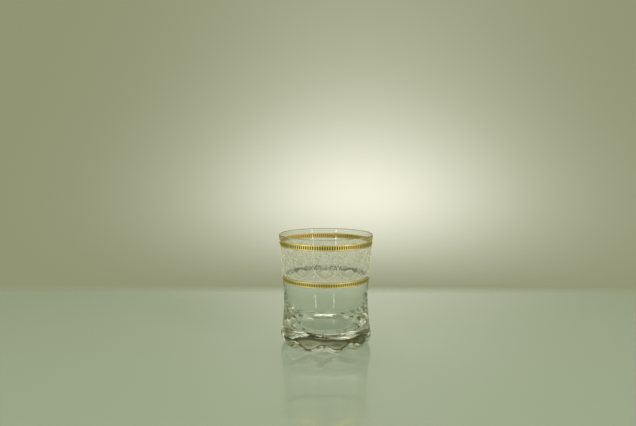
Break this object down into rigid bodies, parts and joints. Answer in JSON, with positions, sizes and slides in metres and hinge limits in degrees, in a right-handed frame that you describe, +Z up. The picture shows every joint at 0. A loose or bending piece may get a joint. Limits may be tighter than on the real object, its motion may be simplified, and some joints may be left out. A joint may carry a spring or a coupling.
{
  "type": "tumbler",
  "caption": "Heavy moulded old-fashioned drinking glass with a scalloped foot, gilded relief bands and frosted lace round the wall.",
  "frame": {"origin": "centre of the circle that the feet stand on, at table height", "axes": "+Z up along the axis of the glass, with one lobe of the foot on the -Y side"},
  "size_m": [0.082, 0.082, 0.0965],
  "materials": {
    "clear_glass": "fire-polished clear",
    "fired_gold": "bright fired gold over relief",
    "frosted_enamel": "matt translucent enamel"
  },
  "bodies": {
    "root": {"glass_body": "clear_glass", "upper_gold_band": "fired_gold", "lower_gold_band": "fired_gold", "frosted_lace": "frosted_enamel"}
  },
  "joints": []
}
